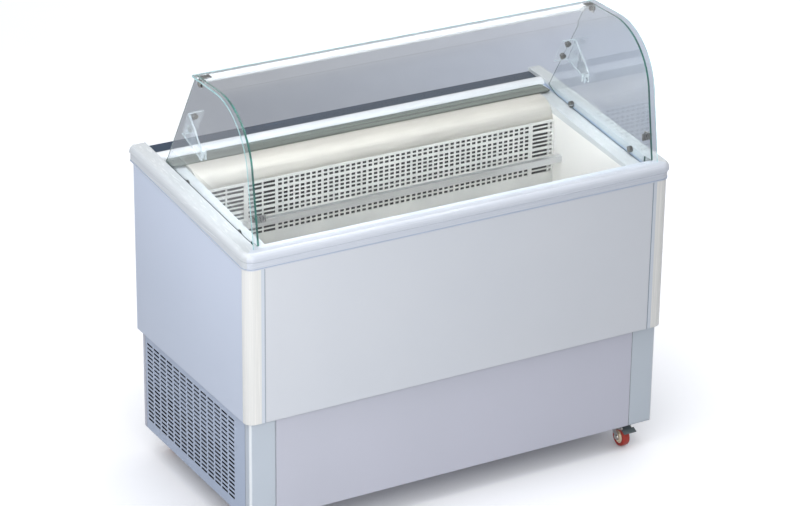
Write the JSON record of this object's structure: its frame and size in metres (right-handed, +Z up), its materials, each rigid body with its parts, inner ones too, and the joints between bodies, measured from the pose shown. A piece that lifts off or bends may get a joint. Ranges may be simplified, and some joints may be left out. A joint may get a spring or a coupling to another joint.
{
  "type": "refrigerated display case",
  "caption": "Free-standing ice cream display case: insulated white tank with a sloping rim, bent glass hood open to the rear, vented base with the cooling unit, swivel casters.",
  "frame": {"origin": "on the floor under the middle of the case", "axes": "+X along the length to the customer's right, +Y from the customer's side to the operator's side, +Z up"},
  "size_m": [1.366, 0.7156, 1.28],
  "materials": {
    "white_powder_coat": "satin",
    "grey_powder_coat": "satin",
    "white_plastic": "satin",
    "tank_liner": "satin",
    "foam": "matte",
    "deck_paint": "satin",
    "polished_steel": "polished",
    "galvanised_sheet": "satin",
    "fin_aluminium": "satin",
    "satin_aluminium": "satin",
    "bright_steel": "polished",
    "hood_glass": "polished",
    "clear_acrylic": "polished",
    "black_paint": "satin",
    "motor_black": "satin",
    "fan_plastic": "matte",
    "copper": "satin",
    "drain_plastic": "matte",
    "control_plastic": "matte",
    "key_plastic": "matte",
    "zinc_steel": "satin",
    "wheel_polyurethane": "satin",
    "pedal_steel": "satin"
  },
  "bodies": {
    "cabinet": {"air_hood": "polished_steel", "base_front_panel": "grey_powder_coat", "base_plate": "grey_powder_coat", "base_post_left": "grey_powder_coat", "base_post_right": "grey_powder_coat", "base_rear_panel": "grey_powder_coat", "base_vent_left": "grey_powder_coat", "base_vent_right": "grey_powder_coat", "body_floor": "white_powder_coat", "caster_plates": "zinc_steel", "compressor": "black_paint", "condenser_coil": "fin_aluminium", "condenser_motor": "motor_black", "condenser_shroud": "galvanised_sheet", "control_unit": "control_plastic", "corner_profile_left": "white_plastic", "corner_profile_right": "white_plastic", "drain_pipe": "drain_plastic", "end_glass_left": "hood_glass", "end_glass_right": "hood_glass", "evaporator_coil": "fin_aluminium", "evaporator_motors": "motor_black", "fan_plate": "galvanised_sheet", "front_glass": "hood_glass", "glass_bolts": "bright_steel", "glass_clamps": "bright_steel", "hood_brackets": "clear_acrylic", "inner_tank": "tank_liner", "insulation_foam": "foam", "pan_rails": "polished_steel", "power_inlet": "control_plastic", "rear_deck": "deck_paint", "rear_grille": "white_plastic", "rear_rail": "white_plastic", "refrigerant_lines": "copper", "rim_front": "white_plastic", "rim_left": "white_plastic", "rim_right": "white_plastic", "steel_strip": "polished_steel", "top_bar": "satin_aluminium", "upper_front_panel": "white_powder_coat", "upper_panel_left": "white_powder_coat", "upper_panel_right": "white_powder_coat", "upper_rear_panel": "white_powder_coat"},
    "evaporator_fan_left": {"evaporator_fan_left": "fan_plastic"},
    "evaporator_fan_right": {"evaporator_fan_right": "fan_plastic"},
    "condenser_fan": {"condenser_fan": "fan_plastic"},
    "key_down": {"control_key_down": "key_plastic"},
    "key_up": {"control_key_up": "key_plastic"},
    "rocker": {"switch_rocker": "key_plastic"},
    "fork_front_left": {"caster_fork_front_left": "zinc_steel"},
    "wheel_front_left": {"caster_wheel_front_left": "wheel_polyurethane"},
    "pedal_front_left": {"brake_pedal_front_left": "pedal_steel"},
    "fork_front_right": {"caster_fork_front_right": "zinc_steel"},
    "wheel_front_right": {"caster_wheel_front_right": "wheel_polyurethane"},
    "pedal_front_right": {"brake_pedal_front_right": "pedal_steel"},
    "fork_rear_left": {"caster_fork_rear_left": "zinc_steel"},
    "wheel_rear_left": {"caster_wheel_rear_left": "wheel_polyurethane"},
    "fork_rear_right": {"caster_fork_rear_right": "zinc_steel"},
    "wheel_rear_right": {"caster_wheel_rear_right": "wheel_polyurethane"}
  },
  "joints": [
    {"name": "evaporator_fan_left_spin", "type": "hinge", "parent": "cabinet", "child": "evaporator_fan_left", "pos_m": [-0.26, 0.165, 0.77], "axis": [0, 1, 0], "continuous": true},
    {"name": "evaporator_fan_right_spin", "type": "hinge", "parent": "cabinet", "child": "evaporator_fan_right", "pos_m": [0.26, 0.165, 0.77], "axis": [0, 1, 0], "continuous": true},
    {"name": "condenser_fan_spin", "type": "hinge", "parent": "cabinet", "child": "condenser_fan", "pos_m": [-0.54, 0.036, 0.21], "axis": [1, 0, 0], "continuous": true},
    {"name": "key_down_press", "type": "slide", "parent": "cabinet", "child": "key_down", "axis": [0, -1, 0], "range_m": [0, 0.0012], "stiffness_N_per_m": 400},
    {"name": "key_up_press", "type": "slide", "parent": "cabinet", "child": "key_up", "axis": [0, -1, 0], "range_m": [0, 0.0012], "stiffness_N_per_m": 400},
    {"name": "rocker_tilt", "type": "hinge", "parent": "cabinet", "child": "rocker", "pos_m": [0.352, 0.34555, 0.3], "axis": [1, 0, 0], "range_deg": [-16, 0]},
    {"name": "swivel_front_left", "type": "hinge", "parent": "cabinet", "child": "fork_front_left", "pos_m": [-0.585, -0.267, 0.07], "axis": [0, 0, 1], "continuous": true},
    {"name": "roll_front_left", "type": "hinge", "parent": "fork_front_left", "child": "wheel_front_left", "pos_m": [-0.585, -0.295, 0.03], "axis": [1, 0, 0], "continuous": true},
    {"name": "brake_front_left", "type": "hinge", "parent": "fork_front_left", "child": "pedal_front_left", "pos_m": [-0.585, -0.316, 0.067], "axis": [1, 0, 0], "range_deg": [0, 18]},
    {"name": "swivel_front_right", "type": "hinge", "parent": "cabinet", "child": "fork_front_right", "pos_m": [0.585, -0.267, 0.07], "axis": [0, 0, 1], "continuous": true},
    {"name": "roll_front_right", "type": "hinge", "parent": "fork_front_right", "child": "wheel_front_right", "pos_m": [0.585, -0.295, 0.03], "axis": [1, 0, 0], "continuous": true},
    {"name": "brake_front_right", "type": "hinge", "parent": "fork_front_right", "child": "pedal_front_right", "pos_m": [0.585, -0.316, 0.067], "axis": [1, 0, 0], "range_deg": [0, 18]},
    {"name": "swivel_rear_left", "type": "hinge", "parent": "cabinet", "child": "fork_rear_left", "pos_m": [-0.585, 0.267, 0.07], "axis": [0, 0, 1], "continuous": true},
    {"name": "roll_rear_left", "type": "hinge", "parent": "fork_rear_left", "child": "wheel_rear_left", "pos_m": [-0.585, 0.295, 0.03], "axis": [1, 0, 0], "continuous": true},
    {"name": "swivel_rear_right", "type": "hinge", "parent": "cabinet", "child": "fork_rear_right", "pos_m": [0.585, 0.267, 0.07], "axis": [0, 0, 1], "continuous": true},
    {"name": "roll_rear_right", "type": "hinge", "parent": "fork_rear_right", "child": "wheel_rear_right", "pos_m": [0.585, 0.295, 0.03], "axis": [1, 0, 0], "continuous": true}
  ]
}
